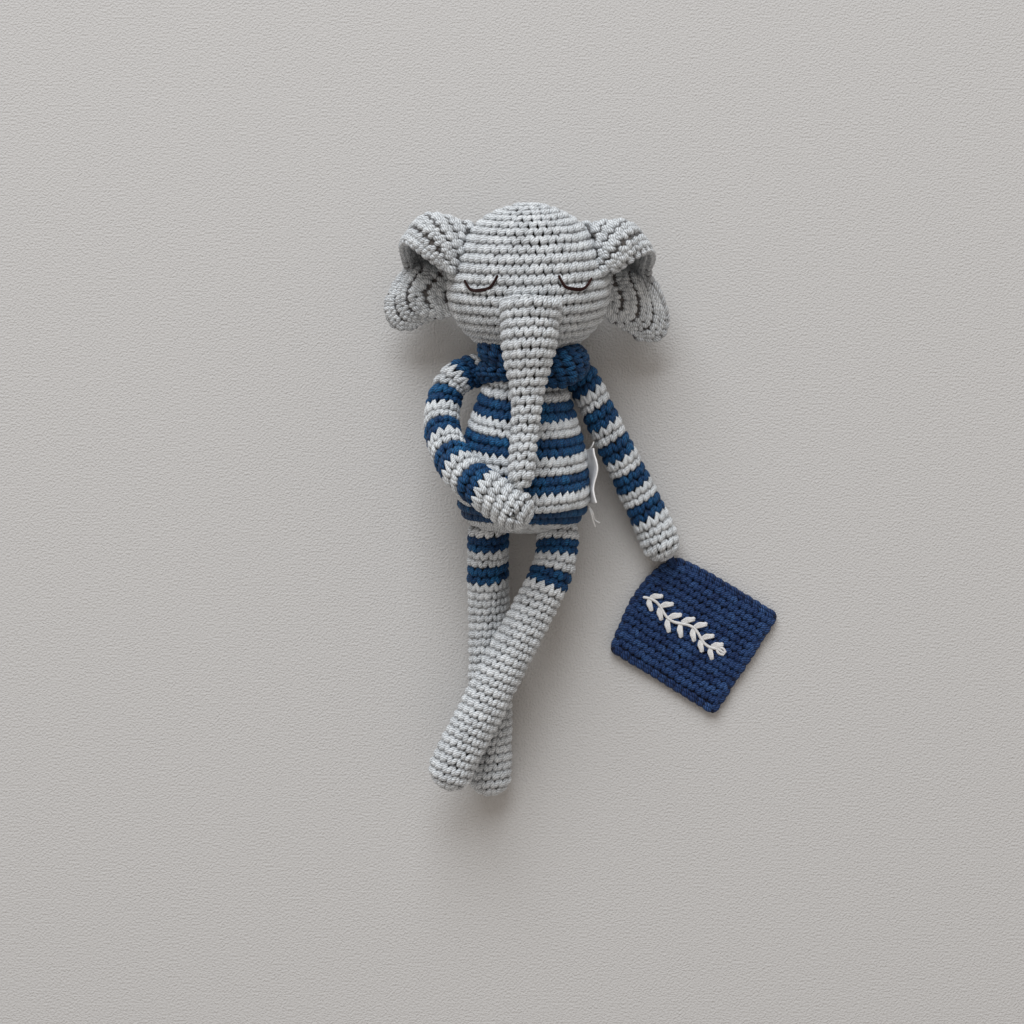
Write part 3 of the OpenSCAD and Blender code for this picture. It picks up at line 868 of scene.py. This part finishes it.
def make_ears():
    """Nets of the ears, from the top of the hood round to the bottom of the lobe: the seam on the head,
    the middle of the sheet and its free edge. A seam is (height y, degrees forward of the side)."""
    seam = [(68, 27), (75, 29), (82, 26), (87, 16), (88, 2), (82, -9), (75, -13), (68, -14), (62, -14),
            (58, -14), (55, -13)]
    right_middle = [(-32.5, 69, 47), (-34, 76.5, 51), (-36.5, 85, 50.5), (-38.5, 90, 43), (-42.5, 88, 30),
                    (-44, 82, 14), (-42.5, 77, 11), (-43.8, 71.6, 22), (-46.5, 64, 24), (-45.5, 56.5, 22),
                    (-39, 54, 19)]
    right_edge = [(-32.5, 69, 47), (-37.8, 72.4, 49.5), (-42.8, 76.6, 48.5), (-47.4, 80, 43), (-49.5, 79, 34),
                  (-48.8, 76, 25), (-48.8, 72.8, 22), (-54, 66.5, 21), (-57, 58, 18), (-53.5, 51, 16),
                  (-46, 50.4, 17)]
    left_middle = [(32.5, 68.6, 47), (33.5, 75, 51), (36, 82.6, 50.5), (38.5, 87, 43), (42, 85, 30),
                   (43, 79.5, 14), (42, 75, 11), (43, 69.2, 20), (44.5, 61, 22), (43.5, 53, 21),
                   (38, 51, 18.5)]
    left_edge = [(32.5, 68.6, 47), (37.4, 71.6, 49.5), (42, 75, 49), (46.6, 77.6, 43), (48.8, 76.6, 34),
                 (48.6, 74, 25), (49.2, 70.4, 21), (53, 63, 20), (56, 54, 17), (53.5, 47.4, 16),
                 (45, 47, 17)]
    right_seam = [head_side(-1, y, forward, -0.5) for y, forward in seam]
    left_seam = [head_side(1, y, forward, -0.5) for y, forward in seam]
    make_ear("right", -1, [right_seam, right_middle, right_edge])
    make_ear("left", 1, [left_seam, left_middle, left_edge])


def make_tag():
    low, high = node_box("tag_edging")
    centre = 0.5 * (low + high)
    thick = high[2] - low[2]
    corners = np.array([(-10, 34.2), (31.9, 8.8), (7, -29.7), (-33.8, -4.4)])
    top_left, top_right, low_right, low_left = corners
    net = []
    for v in np.linspace(0, 1, 7):
        row = []
        for u in np.linspace(0, 1, 7):
            q = (top_left * (1 - u) + top_right * u) * (1 - v) + (low_left * (1 - u) + low_right * u) * v
            q = q + np.array([1.0, -2.6]) * max(0, 1 - 2.4 * (u + v)) ** 2
            q = q + np.array([-2.4, 1.5]) * math.sin(math.pi * v) * (1 - u) ** 2
            wave = 0.35 * math.sin(5 * u + 2 * v) + 0.3 * math.sin(4 * v)
            row.append((centre[0] + q[0], centre[1] + q[1], centre[2] + 0.95 + 0.5 * wave))
        net.append(row)
    patch = Patch(net)
    rows = 13
    parts = []
    for face in (1, -1):
        parts += lay_rows(patch, sheet_rows(patch, rows, 0.03), face, 0.25, turned=False)
    t = np.linspace(0, 1, 91)
    one = np.ones(91)
    loop_a = np.concatenate([t, one[1:], t[::-1][1:], 0 * one[1:]])
    loop_b = np.concatenate([0 * one, t[1:], one[1:], t[::-1][1:]])
    for k in range(4):
        cut = slice(k * 90, k * 90 + 91)
        parts += edge_chain(patch, loop_a[cut], loop_b[cut], 0.0, 1.05, 3.6, -0.3)
    obj = yarn_mesh("tag_stitches", parts, navy_yarn)
    finish_piece(obj, "tag", "navy_yarn", "tag_edging")
    form = sheet_form("tag_sheet", patch, 0.4, navy_inside_shade)
    finish_piece(form, "tag", "navy_yarn", "tag_panel")
    sprig = make_sprig(patch)
    tie = np.array([(59.2, -42.2, 7.6), (60, -43, 6.4), (60.8, -44, 5), (61.6, -45.4, 3.9), (62.6, -47, 2.6)])
    loop = thread(tie, 0.8)
    second = thread([q + [-1.1, -0.6, 0.2] for q in tie], 0.8)
    finish_piece(yarn_mesh("tag_tie_yarn", [loop, second], navy_yarn), "tag", "navy_yarn", "tag_tie")


def make_sprig(patch):
    """White embroidery: a waving stem with pairs of satin-stitch leaves and a bud at its tip."""
    parts = []

    def place(x, y, h):
        """Point over the tag: x and y in mm from the middle of the sprig, along and across it."""
        turn = math.radians(-3.5)
        u = 0.39 + (x * math.cos(turn) - y * math.sin(turn)) / 48
        v = 0.49 - (x * math.sin(turn) + y * math.cos(turn)) / 47
        return patch.point(np.array(u), np.array(v), np.array(1.95 + h))

    reach = 17.5
    stem = [(x, 1.5 * math.sin(x * 0.36)) for x in np.linspace(-reach, reach, 15)]
    parts.append(thread([place(x, y, 0.25) for x, y in stem], 0.62))
    for k in range(-3, 4):
        x = k * 5.0
        y = 1.5 * math.sin(x * 0.36)
        for side in (-1, 1):
            long = 5.6 - 0.35 * abs(k)
            for strand in range(4):
                spread = (strand - 1.5) * 0.62
                tip = 1 - 0.12 * abs(strand - 1.5)
                start = place(x + 0.4 * spread, y + side * 0.5, 0.1)
                mid = place(x + 1.3 + spread, y + side * 0.55 * long, 0.55)
                end = place(x + 2.9 + 0.45 * spread, y + side * long * tip, 0.05)
                parts.append(thread([start, mid, end], 0.5))
    for strand in range(3):
        parts.append(thread([place(reach - 1, 0, 0.1), place(reach + 1.2, (strand - 1) * 1.3, 0.5),
                             place(reach + 3.4, (strand - 1) * 0.6, 0.1)], 0.55))
    obj = yarn_mesh("tag_sprig_embroidery", parts, white_yarn)
    return finish_piece(obj, "tag", "white_thread", "tag_sprig")


def make_label():
    low, high = node_box("label_ribbon")
    top = np.array([low[0] - 1.8, 0.5 * (low[1] + high[1]), low[2]])
    half = 0.5 * (high[1] - low[1])
    drape = [(-0.6, 0.6), (0.3, 2.5), (0.9, 5), (1.2, 8.2), (1.9, 11.6)]
    net = []
    for x, z in drape:
        net.append([(top[0] + x + 0.07 * z * math.sin(4.2 * v + 0.5), top[1] + half * v,
                     top[2] + z + 0.35 * math.sin(5 * v)) for v in np.linspace(-1, 1, 9)])
    patch = Patch(net, 60, 40)
    form = sheet_form("label_sheet", patch, 0.28, ribbon, 60, 30)
    finish_piece(form, "label", "label_ribbon", "label_ribbon")
    low, high = node_box("label_thread")
    x, y = low[0] - 2.6, low[1] + 1
    ends = [[(x, y + 6.5, 26), (x + 0.8, y + 4.2, 28.5), (x + 1.6, y + 1.2, 27.5), (x + 2.6, y - 1.4, 26)],
            [(x, y + 7, 25), (x + 1.4, y + 4.6, 27), (x + 2.4, y + 1.6, 25.4), (x + 4.4, y + 0.2, 25)],
            [(x, high[1] - 5, 25), (x + 1.2, high[1] - 3.4, 27), (x + 2, high[1] - 1.6, 26)]]
    obj = yarn_mesh("label_thread_ends", [thread(e, 0.3) for e in ends], white_yarn)
    finish_piece(obj, "torso", "white_thread", "label_thread")


# ---- stage ---------------------------------------------------------------------------------
def make_stage():
    n = Nodes("paper_floor")
    place = n.add("ShaderNodeTexCoord")
    noise = n.add("ShaderNodeTexNoise")
    noise.inputs["Scale"].default_value = 1150.0
    noise.inputs["Detail"].default_value = 2.0
    n.join(place.outputs["Object"], noise.inputs["Vector"])
    n.join(n.mix(noise.outputs[0], srgb(180, 179, 178), srgb(192, 191, 190)), n.shader.inputs["Base Color"])
    lump = n.add("ShaderNodeBump")
    lump.inputs["Strength"].default_value = 1.0
    lump.inputs["Distance"].default_value = 0.00055
    n.join(noise.outputs[0], lump.inputs["Height"])
    n.join(lump.outputs[0], n.shader.inputs["Normal"])
    n.shader.inputs["Roughness"].default_value = 0.8
    mesh = bpy.data.meshes.new("floor")
    size = 1.6
    corners = [(-size, -size, 0), (size, -size, 0), (size, size, 0), (-size, size, 0)]
    mesh.from_pydata(corners, [], [(0, 1, 2, 3)])
    link("floor", mesh, n.material)
    world = bpy.data.worlds.new("room")
    world.use_nodes = True
    background = world.node_tree.nodes["Background"]
    background.inputs[0].default_value = (1, 0.915, 0.84, 1)
    background.inputs[1].default_value = 0.5
    bpy.context.scene.world = world
    window = bpy.data.lights.new("window", "AREA")
    window.size = 2.2
    window.energy = 110
    window.color = (0.95, 0.985, 1.02)
    lamp = bpy.data.objects.new("window", window)
    lamp.location = (-0.5, 2.5, 2.0)
    lamp.rotation_euler = (-lamp.location).to_track_quat("-Z", "Y").to_euler()
    bpy.context.scene.collection.objects.link(lamp)
    camera = bpy.data.cameras.new("camera")
    camera.angle = math.radians(39.2)
    camera.clip_end = 5
    eye = bpy.data.objects.new("camera", camera)
    eye.location = (-0.006, -0.0243, 0.6)
    bpy.context.scene.collection.objects.link(eye)
    bpy.context.scene.camera = eye
    bpy.context.scene.view_settings.view_transform = "Standard"


make_stage()
make_head()
make_trunk()
make_body()
make_collar()
make_limbs()
make_ears()
make_tag()
make_label()
